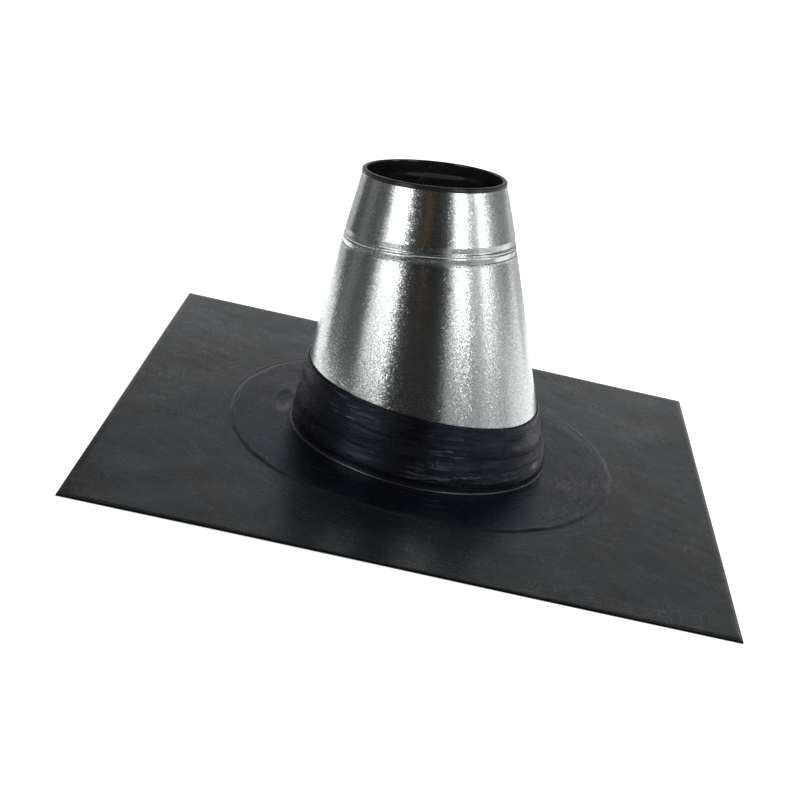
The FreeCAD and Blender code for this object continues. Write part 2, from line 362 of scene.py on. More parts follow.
def make_lead():
    """Tones are laid over each other: open sheet, rubbed disc, a painted highlight along the
    crease, collar, wear, then a painted highlight and painted shade at the cut edge.

    Each share runs from 0 to 1 between a FROM and a TO, in metres from the axis or in height. The
    bump's height is streaks, cloud, grime and grain added up, less the scratches.
    """
    material, tree, shader, place = finish("dressed_lead")
    ring = put(tree, ROUND, Place=place, Centre=(-0.005, -0.0007, 0))
    cloud = put(tree, MOTTLE, Place=place, Scale=6.0, Contrast=0.26)["Mask"]
    grime = put(tree, MOTTLE, Place=place, Scale=24.0, Contrast=0.30)["Mask"]
    grain = put(tree, MOTTLE, Place=place, Scale=120.0, Contrast=0.34)["Mask"]
    lines = put(tree, SCRATCHES, Place=place, Scale=30.0, Thinness=0.02)["Lines"]
    streak = noise(tree, ring["Ring Place"], 34.0, 6.0, 0.66)
    broad = noise(tree, ring["Ring Place"], 9.0, 3.0, 0.5)
    edge = maths(tree, "MULTIPLY_ADD", broad, 0.034, ring["Distance"])
    inside = between(tree, edge, RUBBED_FROM, RUBBED_TO)
    wall = between(tree, ring["Height"], WALL_FROM, WALL_TO)
    near = between(tree, edge, STREAKS_FROM, STREAKS_TO)
    sheet = blend(tree, cloud, SHEET_DARK, SHEET_LIGHT)
    brown = between(tree, noise(tree, place, 8.0, 6.0, 0.64, 0.9), 0.50, 0.62, 0.0, 0.85)
    sheet = blend(tree, brown, sheet, BROWN_STAIN)
    sheet = blend(tree, maths(tree, "MULTIPLY", grime, 0.35), sheet, GREY_GRIME)
    rubbed = blend(tree, grime, RUBBED_DARK, RUBBED_LIGHT)
    collar = blend(tree, grime, COLLAR_DARK, COLLAR_LIGHT)
    colour = blend(tree, inside, sheet, rubbed)
    # Painted highlight: from 3.4 mm up the crease is painted lighter, as light along the fold,
    # until the collar tone takes over.
    crease = between(tree, ring["Height"], CREASE_HIGHLIGHT_FROM, CREASE_HIGHLIGHT_TO)
    colour = blend(tree, crease, colour, CREASE_HIGHLIGHT)
    colour = blend(tree, wall, colour, collar)
    colour = blend(tree, maths(tree, "MULTIPLY", grain, 0.30), colour, DARK_GRAIN)
    rubs = maths(tree, "MAXIMUM", maths(tree, "MULTIPLY", near, 0.6), wall)
    worn = maths(tree, "MULTIPLY", between(tree, streak, 0.54, 0.66), 0.8)
    patchy = between(tree, noise(tree, place, 24.0, 2.0), 0.50, 0.64)
    worn = maths(tree, "MULTIPLY", worn, patchy)
    colour = blend(tree, maths(tree, "MULTIPLY", worn, rubs), colour, WORN_STREAK)
    flat = maths(tree, "SUBTRACT", 1.0, wall)
    lines = maths(tree, "MULTIPLY", lines, flat)
    colour = blend(tree, maths(tree, "MULTIPLY", lines, 0.6), colour, BRIGHT_SCRATCH)
    part = wire(tree, "ShaderNodeSeparateXYZ", {0: place}).outputs
    outer = maths(tree, "MAXIMUM", maths(tree, "MULTIPLY", part[1], -1.0), part[0])
    # Painted highlight: a lighter line 1.6 to 3.2 mm inside the cut edge, on the -y and +x sides
    # only.
    rim = between(tree, outer, HALF_SHEET - 0.0032, HALF_SHEET - 0.0016, 0.0, 0.5)
    colour = blend(tree, rim, colour, EDGE_HIGHLIGHT)
    # Painted shade: the last 1.4 mm of the sheet, its top corner and upright edge face, is painted
    # near black on the -y and +x sides.
    cut = between(tree, outer, HALF_SHEET - 0.0014, HALF_SHEET - 0.0007)
    colour = blend(tree, cut, colour, EDGE_SHADE)
    tree.links.new(colour, shader.inputs["Base Color"])
    shader.inputs["Metallic"].default_value = 0.93
    rough = maths(tree, "MULTIPLY_ADD", grime, 0.12, 0.20)
    rough = maths(tree, "MULTIPLY_ADD", worn, -0.10, rough)
    rough = maths(tree, "MULTIPLY_ADD", grain, 0.05, rough)
    tree.links.new(rough, shader.inputs["Roughness"])
    comb = maths(tree, "MULTIPLY", streak, rubs)
    height = maths(tree, "MULTIPLY_ADD", comb, 1.3, maths(tree, "MULTIPLY", cloud, 0.35))
    height = maths(tree, "MULTIPLY_ADD", grime, 0.20, height)
    height = maths(tree, "MULTIPLY_ADD", grain, 0.16, height)
    height = maths(tree, "MULTIPLY_ADD", lines, -0.12, height)
    bump = wire(tree, "ShaderNodeBump", {"Strength": 1.0, "Distance": 0.0006, "Height": height})
    tree.links.new(bump.outputs[0], shader.inputs["Normal"])
    return material


LEAD_FINISH = make_lead()
print("lead finish has", len(LEAD_FINISH.node_tree.nodes), "nodes")

# %% [markdown]
# ## Galvanised steel
# Fresh galvanised sheet mirrors the room softly. Its zinc coat is made of tiny crystals, each
# tipped a little its own way, so the edges of every reflection break up into sparkle while even
# areas stay smooth. A cell texture gives each crystal its own tilt of the normal and its own tone.
# A bump of noise would make soft dimples instead of flat, sharp crystals.

# %% Zinc crystals and steel finish
ZINC_GREY, ZINC_LIGHT = (0.69, 0.72, 0.72, 1), (0.78, 0.81, 0.80, 1)
ZINC_DARK = (0.25, 0.27, 0.28, 1)
STRONG_FROM, STRONG_TILT = 0.66, 4.6
CRYSTAL_LAYERS = ((0.55, 0.3), (1.0, 1.0))


def make_spangle():
    """Normal tipped by a random amount in each cell, in a coarse layer and then a fine one.

    Each layer has a share of Cells and of Tilt. The cells whose random pick is above STRONG_FROM
    tip further, up to STRONG_TILT times. Tone is the fine layer's random value.
    """
    tree, inside, out = new_group(
        "spangle",
        [("Place", "vector", (0, 0, 0)), ("Cells", "value", 900.0), ("Tilt", "value", 0.08)],
        [("Normal", "vector"), ("Tone", "value")],
    )
    total = wire(tree, "ShaderNodeNewGeometry").outputs["Normal"]
    for share, tilt in CRYSTAL_LAYERS:
        size = maths(tree, "MULTIPLY", inside["Cells"], share)
        cells = wire(tree, "ShaderNodeTexVoronoi", {"Vector": inside["Place"], "Scale": size})
        lean = vectors(tree, "SUBTRACT", cells.outputs["Color"], (0.5, 0.5, 0.5))
        spot = {"Vector": cells.outputs["Position"]}
        pick = wire(tree, "ShaderNodeTexWhiteNoise", spot).outputs[0]
        strong = between(tree, pick, STRONG_FROM, 1.0, 1.0, STRONG_TILT)
        amount = maths(tree, "MULTIPLY", maths(tree, "MULTIPLY", inside["Tilt"], tilt), strong)
        lean = wire(tree, "ShaderNodeVectorMath", {0: lean, "Scale": amount}, operation="SCALE")
        total = vectors(tree, "ADD", total, lean.outputs[0])
    tone = wire(tree, "ShaderNodeSeparateXYZ", {0: cells.outputs["Color"]}).outputs[0]
    tree.links.new(vectors(tree, "NORMALIZE", total), out["Normal"])
    tree.links.new(tone, out["Tone"])
    return tree


SPANGLE = make_spangle()


def make_steel():
    """Zinc grey with darker crystals; roughness is 0.18, a little more in clouds and scratches."""
    material, tree, shader, place = finish("galvanised_sheet")
    crystal = put(tree, SPANGLE, Place=place, Cells=1350.0, Tilt=0.05)
    cloud = put(tree, MOTTLE, Place=place, Scale=14.0, Contrast=0.4)["Mask"]
    lines = put(tree, SCRATCHES, Place=place, Scale=40.0, Thinness=0.012)["Lines"]
    colour = blend(tree, cloud, ZINC_GREY, ZINC_LIGHT)
    darker = between(tree, crystal["Tone"], 0.3, 0.7, 0.0, 0.62)
    colour = blend(tree, darker, colour, ZINC_DARK)
    tree.links.new(colour, shader.inputs["Base Color"])
    shader.inputs["Metallic"].default_value = 1.0
    rough = maths(tree, "MULTIPLY_ADD", cloud, 0.03, 0.18)
    rough = maths(tree, "MULTIPLY_ADD", lines, 0.15, rough)
    tree.links.new(rough, shader.inputs["Roughness"])
    tree.links.new(crystal["Normal"], shader.inputs["Normal"])
    return material


STEEL_FINISH = make_steel()
print("steel finish has", len(STEEL_FINISH.node_tree.nodes), "nodes")

# %% [markdown]
# ## Black plastic
# The liner is moulded in glossy black plastic. It is nearly a mirror, with faint flow marks from
# the mould, a few scuffs and specks of dust. Plain shader values give the gloss, and noise in a
# weak bump gives the flow marks.

# %% Plastic finish
BLACK_DARK, BLACK_LIGHT = (0.005, 0.005, 0.006, 1), (0.010, 0.010, 0.011, 1)
SCUFF = (0.12, 0.115, 0.11, 1)


def make_plastic():
    """Near black, with scuffs and dust that are paler and rougher than the rest."""
    material, tree, shader, place = finish("gloss_black_plastic")
    cloud = put(tree, MOTTLE, Place=place, Scale=18.0, Contrast=0.4)["Mask"]
    lines = put(tree, SCRATCHES, Place=place, Scale=45.0, Thinness=0.010)["Lines"]
    dust = between(tree, noise(tree, place, 420.0, 2.0, 0.5), 0.70, 0.78)
    marks = maths(tree, "MULTIPLY", maths(tree, "MAXIMUM", lines, dust), 0.35)
    base = blend(tree, cloud, BLACK_DARK, BLACK_LIGHT)
    colour = blend(tree, marks, base, SCUFF)
    tree.links.new(colour, shader.inputs["Base Color"])
    rough = maths(tree, "MULTIPLY_ADD", cloud, 0.06, 0.05)
    rough = maths(tree, "MULTIPLY_ADD", marks, 0.5, rough)
    tree.links.new(rough, shader.inputs["Roughness"])
    shader.inputs["Specular IOR Level"].default_value = 0.36
    flow = noise(tree, place, 60.0, 2.0, 0.4)
    bump = wire(tree, "ShaderNodeBump", {"Strength": 0.4, "Distance": 0.0002, "Height": flow})
    tree.links.new(bump.outputs[0], shader.inputs["Normal"])
    return material


PLASTIC_FINISH = make_plastic()
print("plastic finish has", len(PLASTIC_FINISH.node_tree.nodes), "nodes")

# %% [markdown]
# ## The lead flashing
# One sheet of lead lies flat, steps up over the liner's hidden flange, and turns up round the cone.
# The cross section is written as a list of rows, from the cut edge inwards over the top, up the
# collar, over its lip and back along the underside. On the flat part a row slides from a square to
# a circle: each point moves on a straight line between the two.

# %% Rows of the flat sheet
def square(inset, height):
    """Row on the sheet's square outline, moved inwards, at a height.

    In each direction the point is the half width over the larger of |cos| and |sin| away.
    """
    reach = (HALF_SHEET - inset) / np.maximum(abs(np.cos(AROUND)), abs(np.sin(AROUND)))
    return np.stack([reach * np.cos(AROUND), reach * np.sin(AROUND),
                     np.broadcast_to(height, reach.shape)], axis=-1)


def circle(radius, height):
    """Row on a circle about the middle of the sheet."""
    radius, height = np.broadcast_arrays(radius, height, np.zeros(COLUMNS))[:2]
    return np.stack([radius * np.cos(AROUND), radius * np.sin(AROUND), height], axis=-1)


def crease_circle(outside, height):
    """Row on the circle of the crease, grown by an amount, in the lean's own turned directions."""
    angle = AROUND + LEAN_TURN
    radius = CREASE + outside
    return set_down(CREASE_SHIFT + radius * np.cos(angle), radius * np.sin(angle),
                    np.broadcast_to(height, AROUND.shape))


def from_to(first, last, steps):
    """Rows on straight lines from one row to another, both ends left out."""
    share = (np.arange(steps) + 1)[:, None, None] / (steps + 1)
    return first * (1 - share) + last * share


def ring_line():
    """Radius of the raised edge round the sheet, from the angle in degrees and radius in mm where
    it was beaten down: straight runs between the marks, then smoothed by a narrow bell curve."""
    marks = [(-179, 195), (-160, 199), (-146, 202), (-128, 204), (-110, 196), (-93, 193),
             (-76, 201), (-56, 204), (-33, 198), (-8, 196), (13, 199), (40, 208), (60, 216),
             (90, 219), (120, 217), (140, 208), (157, 202)]
    line = np.interp(np.degrees(AROUND), *np.transpose(marks), period=360) * MM
    slow = np.exp(-2 * (np.fft.fftfreq(COLUMNS) * 9.0) ** 2 * 20)
    return np.fft.ifft(np.fft.fft(line) * slow).real


RING = ring_line() + 0.5 * MM * waves(np.cos(AROUND), np.sin(AROUND), 0.22, 5)
RING_OUTSIDE = 9 * MM
RING_INSIDE = 10 * MM
RIDGES = ((-4.2, 0.20, 11), (-0.6, 0.26, 12), (2.6, 0.30, 13), (5.4, 0.16, 14))


def ring_row(offset):
    """Row beside the raised edge: a soft step 4.2 mm wide from flange to sheet, and fine ridges.

    Each ridge is a bell curve in the distance from its own line, and fades in and out round the
    sheet; they are strongest on the side of -x and +y. RIDGES holds each line, height and seed.
    """
    away = offset / MM
    step = LEAD + (RAISED - LEAD) * smooth_step(-offset, -1.6 * MM, 2.6 * MM)
    strength = 0.55 - 0.45 * np.cos(AROUND + 0.9)
    for centre, tall, seed in RIDGES:
        fade = (0.6 + 0.7 * waves(np.cos(AROUND), np.sin(AROUND), 0.6, seed)).clip(0, 1.3)
        drift = centre + 0.5 * waves(np.cos(AROUND), np.sin(AROUND), 0.4, seed + 5)
        step = step + np.exp(-(away - drift) ** 2 / 0.55) * tall * MM * strength * fade
    return circle(RING + offset, step)


def sheet_rows():
    """Top of the sheet from its cut edge to the raised ring, with the swell of hand-laid lead."""
    border = square(0, 0)
    lift = 0.25 * MM * (1 + waves(border[:, 0], border[:, 1], 0.35, 21)).clip(0, 2.4)
    edge = [square(0.05 * MM, lift), square(0, lift + 0.5 * MM), square(0, lift + LEAD - 0.5 * MM),
            square(0.45 * MM, lift + LEAD)]
    rings = [ring_row(offset) for offset in np.linspace(RING_OUTSIDE, -RING_INSIDE, 46)]
    top = from_to(edge[-1], rings[0], 20)
    share = np.linspace(0, 1, 20)[:, None]
    x, y = top[..., 0], top[..., 1]
    swell = waves(x, y, 0.11, 22) + 0.4 * waves(x, y, 0.035, 23)
    top[:, :, 2] += 0.20 * MM * swell * np.minimum(1, 4 * share) * np.minimum(1, 4 * (1 - share))
    return edge + list(top) + rings


print("raised edge between", round(RING.min(), 4), "and", round(RING.max(), 4))

# %% [markdown]
# ## The collar
# The crease at the foot is a circle, and the top edge hugs the leaning cone. The cone is cut by
# level planes in ellipses, so each row of the collar is an ellipse, and its centre and half lengths
# blend from the circle to the cone's own ellipse. The dresser's strokes are added as low hills that
# are long round the collar and short up it.

# %% Rows of the collar
COLLAR_HEIGHT = 69.4 * MM
COLLAR_FALL = math.radians(2.0)
CREASE_ROUND = 2.2 * MM
COLLAR_STAND = 2.1 * MM
COLLAR_BLEND = 18 * MM
COLLAR_BELLY = 1.6 * MM
EDGE_SAG, SIDE_SAG = 1.4, 2.6


def collar_row(height, inset):
    """Ellipse round the collar at heights given per column, moved inwards by an amount.

    near and far are where the plane meets the cone's steepest and flattest lines; the ellipse runs
    between them. rise goes from 0 at the crease to 1 where the wall follows the cone, COLLAR_BLEND
    higher. Between the two stands a belly of COLLAR_BELLY t (1 - t), with t from 0 to 1.
    """
    sin_lean, cos_lean = math.sin(LEAN), math.cos(LEAN)
    foot = BASE + COLLAR_STAND
    near = (height - foot * sin_lean) / (cos_lean - LOWER_TAPER * sin_lean)
    far = (height + foot * sin_lean) / (cos_lean + LOWER_TAPER * sin_lean)
    x_near = (foot - LOWER_TAPER * near) * cos_lean - near * sin_lean
    x_far = -(foot - LOWER_TAPER * far) * cos_lean - far * sin_lean
    half_x = (x_near - x_far) / 2
    half_y = half_x * math.sqrt(1 - (sin_lean * math.sqrt(1 + LOWER_TAPER ** 2)) ** 2)
    rise = smooth_step(height, RAISED, RAISED + COLLAR_BLEND)
    share = np.clip((height - RAISED) / COLLAR_BLEND, 0, 1)
    swell = COLLAR_BELLY * share * (1 - share) - inset
    centre = CREASE_SHIFT + ((x_near + x_far) / 2 - CREASE_SHIFT) * rise
    half_x = CREASE + (half_x - CREASE) * rise + swell
    half_y = CREASE + (half_y - CREASE) * rise + swell
    angle = AROUND + LEAN_TURN
    return set_down(centre + half_x * np.cos(angle), half_y * np.sin(angle), height)


def collar_edge():
    """Height of the collar's top edge: a plane that falls away from the lean, so the height is the
    collar's own less x tan(fall); x follows from the row itself in a few rounds. The dressed edge
    then sags by EDGE_SAG mm, and by up to SIDE_SAG mm more towards +x and -x."""
    height = np.full(COLUMNS, COLLAR_HEIGHT)
    for _ in range(4):
        row = collar_row(height, 0)
        along = (row[:, 0] - AXIS_FOOT) * math.cos(LEAN_TURN) - row[:, 1] * math.sin(LEAN_TURN)
        height = COLLAR_HEIGHT - along * math.tan(COLLAR_FALL)
    return height - (EDGE_SAG + SIDE_SAG * np.sin(AROUND + math.radians(91)) ** 2) * MM


EDGE_HEIGHT = collar_edge() + 0.15 * MM * waves(np.cos(AROUND), np.sin(AROUND), 0.5, 31)


def lap_line(height):
    """Soft step 0.55 mm deep where the last strokes overlap, on the side of +x.

    Its line climbs as 9 + 26 t^2 mm. t grows by 1 in 70 degrees round the collar, from 0 to 1.3.
    """
    angle = (AROUND + np.pi) % (2 * np.pi) - np.pi
    t = np.clip((angle + math.radians(62)) / math.radians(70), 0, 1.3)
    line = (9 + 26 * t ** 2) * MM
    fade = smooth_step(angle, math.radians(-70), math.radians(-45))
    fade = fade * smooth_step(-angle, math.radians(-35), math.radians(-10))
    return 0.55 * MM * (smooth_step(height, line - 0.6 * MM, line + 1.2 * MM) - 0.5) * fade


def collar_rows(steps):
    """Outside of the collar: the dresser's strokes as hills that are long round the collar.

    The wall is moved in by 0.30 less 1.7 times the strokes, in mm and held from -0.4 to 1.4, fading
    to 0 at the collar's foot and edge. worked calms the strokes to 0.43 on the side of -x.
    """
    share = np.linspace(0, 1, steps)[:, None]
    foot = RAISED + CREASE_ROUND
    height = foot + (EDGE_HEIGHT[None, :] - foot) * share
    long_strokes = hills(steps, COLUMNS, 1.4, 70.0, 41)
    patches = (0.55 + 0.9 * hills(steps, COLUMNS, 9.0, 30.0, 42)).clip(0.0, 2)
    strokes = 0.055 * long_strokes * abs(long_strokes) * patches
    strokes = strokes + 0.17 * hills(steps, COLUMNS, 9.0, 60.0, 43)
    strokes = strokes + 0.02 * hills(steps, COLUMNS, 1.2, 12.0, 44)
    calm = smooth_step(share, 0.0, 0.06) * smooth_step(-share, -1.0, -0.95)
    away = abs((AROUND - math.radians(190)) % (2 * np.pi) - np.pi)
    worked = 0.35 + 0.65 * smooth_step(away, math.radians(195), math.radians(125))
    depth = (0.30 - strokes * 1.7 * worked).clip(-0.4, 1.4) * MM * calm + lap_line(height)
    return [collar_row(height[i], depth[i]) for i in range(steps)]


print("collar edge from", round(EDGE_HEIGHT.min(), 4), "to", round(EDGE_HEIGHT.max(), 4))

# %% [markdown]
# ## The whole sheet in one skin
# The rows are now put in order: cut edge, top, raised ring, disc, crease, collar, its lip, and back
# down the inside and under the sheet. Real lead is one piece without a joint, so it is one grid. A
# rounded crease joins disc and collar, because lead can't be folded sharply without tearing.

# %% Lead flashing
DENT_X, DENT_Y = -147 * MM, 22 * MM


def crease_rows():
    """Rounded inner corner where the sheet turns up: a quarter circle between floor and wall."""
    wall = collar_row(np.full(COLUMNS, RAISED + CREASE_ROUND), 0)
    rows = [crease_circle(CREASE_ROUND * (1 - math.sin(turn)),
                          RAISED + CREASE_ROUND * (1 - math.cos(turn)))
            for turn in np.linspace(0, np.pi / 2, 6)[1:-1]]
    return [crease_circle(CREASE_ROUND, RAISED)] + rows + [wall * 0.5 + rows[-1] * 0.5]


def inside_rows():
    """Back of the collar and underside of the sheet, out to the cut edge."""
    down = [collar_row(EDGE_HEIGHT * (1 - s) + (RECESS + 2 * MM) * s, LEAD)
            for s in np.linspace(0.01, 1, 7)]
    under = [crease_circle(-LEAD, RECESS + 0.3 * MM), crease_circle(-LEAD + 0.3 * MM, RECESS)]
    flat = from_to(under[-1], circle(FLANGE + 0.2 * MM, RECESS), 3)
    step = [circle(FLANGE + 0.2 * MM, RECESS), circle(FLANGE + 0.3 * MM, 0.0)]
    return down + under + list(flat) + step + list(from_to(step[-1], square(1 * MM, 0), 4))


def dent(x, y):
    """A knock beside the collar on the side it leans to: a hollow 0.9 mm deep with a raised rim.

    With q the distance in half lengths of 8 and 30 mm, the height in mm is
    -0.9 e^(-2 q^4) + 0.4 e^(-12 (q - 1.15)^2).
    """
    q = np.hypot((x - DENT_X) / (8 * MM), (y - DENT_Y) / (30 * MM))
    return (-0.9 * np.exp(-2 * q ** 4) + 0.4 * np.exp(-12 * (q - 1.15) ** 2)) * MM


def make_lead_flashing():
    """All rows in order; the disc between ring and crease has a low swell and the dent."""
    outside = sheet_rows()
    disc = from_to(outside[-1], crease_circle(CREASE_ROUND, RAISED), 30)
    x, y = disc[..., 0], disc[..., 1]
    disc[:, :, 2] += 0.10 * MM * waves(x, y, 0.07, 51) + dent(x, y)
    lip = [collar_row(EDGE_HEIGHT + 0.45 * MM, 0.45 * MM),
           collar_row(EDGE_HEIGHT + 0.9 * MM, 1.0 * MM),
           collar_row(EDGE_HEIGHT + 0.95 * MM, LEAD - 0.3 * MM)]
    rows = outside + list(disc) + crease_rows() + collar_rows(46) + lip + inside_rows()
    skin("lead_sheet_and_collar", np.array(rows), LEAD_FINISH, "lead_flashing")


make_lead_flashing()

# %% [markdown]
# ## The steel cones
# Both cones are rolled sheet: a profile of radius against height, carried once round the leaning
# axis. Rolled sheet is never quite round, so the radius has a swell of about a hundredth of a
# millimetre, which makes the reflections run a little unevenly. A lap seam goes up the back. A
# cone from the Add menu would be too even, and could not carry the seam.

# %% Profiles carried round the leaning axis
SEAM_WIDTH = 7.0 * MM
SEAM_HEIGHT = 0.6 * MM
MOUTH_TURN = math.radians(1.7)
MOUTH_FADE = 14 * MM
ROUND_AXIS = AROUND[None, :] + LEAN_TURN


def through(corners, counts):
    """Points along straight lines through corners, with a number of steps for each line."""
    corners = np.array(corners) * MM
    shares = [np.linspace(0, 1, count, endpoint=False)[:, None] for count in counts]
    parts = [a + (b - a) * share for a, b, share in zip(corners, corners[1:], shares)]
    return np.concatenate(parts + [corners[-1:]])


def seam_lift(radius, height, start, end):
    """How far the lap seam stands out: a flat-topped ridge across, fading in and out lengthways.

    Across, it is the product of a quick step at minus half the seam's width and a slower one just
    past plus half of it. Lengthways, each end fades over 2 mm.
    """
    across = radius * np.sin(ROUND_AXIS - np.pi / 2)
    ridge = smooth_step(across, -SEAM_WIDTH / 2 - 0.3 * MM, -SEAM_WIDTH / 2 + 0.3 * MM)
    ridge = ridge * smooth_step(-across, -SEAM_WIDTH / 2 - 2.0 * MM, -SEAM_WIDTH / 2)
    ends = smooth_step(height, start - 1 * MM, start + 1 * MM)
    ends = ends * smooth_step(-height, -end - 1 * MM, -end + 1 * MM)
    return SEAM_HEIGHT * ridge * ends * (np.sin(ROUND_AXIS) > 0)


def rolled(rows, seed):
    """Out-of-round swell of rolled sheet, in metres: wide hills, and smaller ones on them."""
    wide, small = hills(rows, COLUMNS, 40.0, 26.0, seed), hills(rows, COLUMNS, 12.0, 9.0, seed + 1)
    return (0.007 * wide + 0.0015 * small) * MM


def level_mouth(radius, height):
    """Height after the mouth is cut a little nearer to level than square across the axis.

    The height falls by r cos(angle) tan(turn), fading in over MOUTH_FADE below the rim.
    """
    share = smooth_step(height, RIM_HEIGHT - MOUTH_FADE, RIM_HEIGHT)
    return height - radius * np.cos(ROUND_AXIS) * math.tan(MOUTH_TURN) * share


def turned(radius, height):
    """Grid of a profile carried once round the leaning axis, with the mouth cut as above."""
    return set_down(*leaned(radius, level_mouth(radius, height), ROUND_AXIS))


def level(foot_radius, taper, z):
    """Row of heights along the axis at which a taper crosses a level plane.

    It solves z = h cos(lean) + (foot radius - taper h) sin(lean) cos(angle) for h.
    """
    return (z - foot_radius * math.sin(LEAN) * np.cos(ROUND_AXIS)) / (
        math.cos(LEAN) - taper * math.sin(LEAN) * np.cos(ROUND_AXIS))


print("lap seam", SEAM_WIDTH, "wide")

# %% [markdown]
# ## The lower cone
# The lower cone is a long taper. A small crease at its top leads to a plain upright band, which
# takes the joint. Its foot is hidden by the collar, and is cut level there. The profile is a list
# of corners in millimetres, because that is how a bent sheet is drawn.

# %% Lower cone
def make_lower_cone():
    """Taper, crease, plain band with a turned top edge, and the inside back down.

    The foot is cut level: no point of the taper or its inside lies lower than the level plane.
    """
    taper = through([(131.0, 0), (86.6, 202.2)], [84])
    shoulder = through([(86.6, 202.4), (86.45, 202.7), (86.05, 202.95), (85.7, 203.05),
                        (85.52, 203.25), (85.5, 203.5), (85.5, 207.7), (85.45, 208.2),
                        (85.3, 208.7), (85.1, 209.05), (84.98, 209.15), (84.9, 208.7)],
                       [1, 1, 1, 1, 1, 8, 1, 1, 1, 1, 1])
    inner = through([(84.9, 203.4), (86.0, 202.0), (130.4, 0)], [2, 24])
    profile = np.concatenate([taper, shoulder, inner])
    radius, height = profile[:, :1], profile[:, 1:]
    height = np.maximum(height, level(BASE, LOWER_TAPER, STEEL_FOOT))
    slope = BASE - LOWER_TAPER * height
    raised = height > profile[:, 1:] + 1e-9
    radius = np.where(raised, slope, radius)
    inside = (np.arange(len(profile)) >= len(taper) + len(shoulder))[:, None]
    radius = radius - np.where(inside & raised, STEEL, 0)
    swell = rolled(len(profile), 61) * smooth_step(-height, -203 * MM, -196 * MM)
    lift = seam_lift(radius, height, 79 * MM, 201.5 * MM)
    radius = radius + np.where(inside, 0, swell + lift)
    skin("lower_cone_sheet", turned(radius, height), STEEL_FINISH, "lower_cone")


make_lower_cone()

# %% [markdown]
# ## The upper cone
# The upper cone starts in a rounded hem that sits over the lower cone's band, with a nearly upright
# strip above the hem. Inside the joint its spigot reaches down behind the band, so rain that runs
# down the steel stays outside. The hem is what draws the dark and light lines of the joint.

# %% Upper cone
def make_upper_cone():
    """Hem, strip, taper and rim outside; taper, back of the strip and spigot inside."""
    hem = through([(84.85, 209.75), (85.05, 209.85), (85.15, 210.1), (85.11, 210.8),
                   (84.98, 211.4), (84.6, 211.85), (84.1, 212.15), (83.85, 212.6),
                   (83.75, 213.2), (83.40, 218.2), (83.33, 218.7)],
                  [1, 1, 1, 1, 1, 1, 1, 1, 8, 1])
    taper = through([(83.18, 219.3), (82.93, 220.3), (70.75, 269.6)], [2, 54])
    rim = through([(70.68, 269.9), (70.5, 270.0), (70.15, 269.9)], [1, 1])
    inner = through([(70.1, 269.5), (82.75, 218.8), (82.85, 213.2), (84.1, 210.8), (84.1, 196.4),
                     (84.4, 196.2), (84.7, 196.4), (84.7, 209.2), (84.8, 209.6)],
                    [12, 4, 3, 6, 1, 1, 5, 1])
    profile = np.concatenate([hem, taper, rim, inner])
    radius, height = profile[:, :1], profile[:, 1:]
    outside = (np.arange(len(profile)) < len(hem) + len(taper))[:, None]
    calm = smooth_step(height, 219 * MM, 226 * MM) * smooth_step(-height, -270 * MM, -262 * MM)
    swell = rolled(len(profile), 71) * calm
    lift = seam_lift(radius, height, 219.5 * MM, 269 * MM)
    radius = radius + np.where(outside, swell + lift, 0)
    skin("upper_cone_sheet", turned(radius, height), STEEL_FINISH, "upper_cone")


make_upper_cone()

# %% [markdown]
# ## The plastic liner
# The lip rolls over the steel's top edge and has one fine groove round it. Below the mouth a short
# straight seat takes the pipe, then the wall widens down to a flat flange under the lead. The foot
# of the wall is cut level with the floor, as the lower cone's is.

# %% Liner with its lip and flange
LINER_FOOT = 119.7 * MM
LINER_TAPER = (119.7 - 69.9) / 270.2
LINER_WALL = 2.5 * MM
FLANGE_TOP = 1.2 * MM


def make_liner():
    """Rows from the flange's rim in to the wall, up, over the lip, down the bore and back out."""
    bore_foot = LINER_FOOT - LINER_WALL
    lip = through([(69.9, 270.1), (70.6, 270.2), (71.0, 270.25), (71.2, 270.5), (71.2, 271.2),
                   (71.05, 271.45), (70.75, 271.7), (71.05, 271.95), (71.2, 272.2), (71.2, 272.6),
                   (71.13, 273.0), (70.95, 273.4), (70.65, 273.78), (70.25, 274.07),
                   (69.75, 274.27), (69.2, 274.38), (68.6, 274.4), (67.9, 274.38),
                   (67.3, 274.22), (66.8, 273.85), (66.55, 273.4), (66.5, 272.8), (66.5, 266.5),
                   (66.55, 266.2), (68.3, 261.4)],
                  [1, 1, 1, 2, 1, 1, 1, 1, 1, 1, 1, 1, 1, 1, 1, 1, 1, 1, 1, 1, 1, 8, 1, 4])
    share = np.linspace(0, 1, 40)[:, None]
    start = level(LINER_FOOT, LINER_TAPER, FLANGE_TOP)
    up = start * (1 - share) + 269.9 * MM * share
    wall = turned(LINER_FOOT - LINER_TAPER * up, up)
    tube = turned(lip[:, :1], lip[:, 1:])
    end = level(bore_foot, LINER_TAPER, 0.0)
    down = 261.0 * MM * (1 - share) + end * share
    bore = turned(bore_foot - LINER_TAPER * down, down)
    rim = [circle(FLANGE - 0.3 * MM, 0.0), circle(FLANGE, 0.3 * MM), circle(FLANGE, 0.9 * MM),
           circle(FLANGE - 0.3 * MM, FLANGE_TOP)]
    rows = np.concatenate([rim, from_to(rim[-1], wall[0], 3), wall, tube, bore,
                           from_to(bore[-1], rim[0], 3)])
    skin("liner_with_lip", rows, PLASTIC_FINISH, "inner_sleeve")


make_liner()

# %% [markdown]
# ## Floor and room
# The floor and the room are white, which gives soft, even light from all sides. The floor glows
# only to the camera and in reflections, so it looks white without throwing more light on the
# piece, and it still takes the soft shadow.

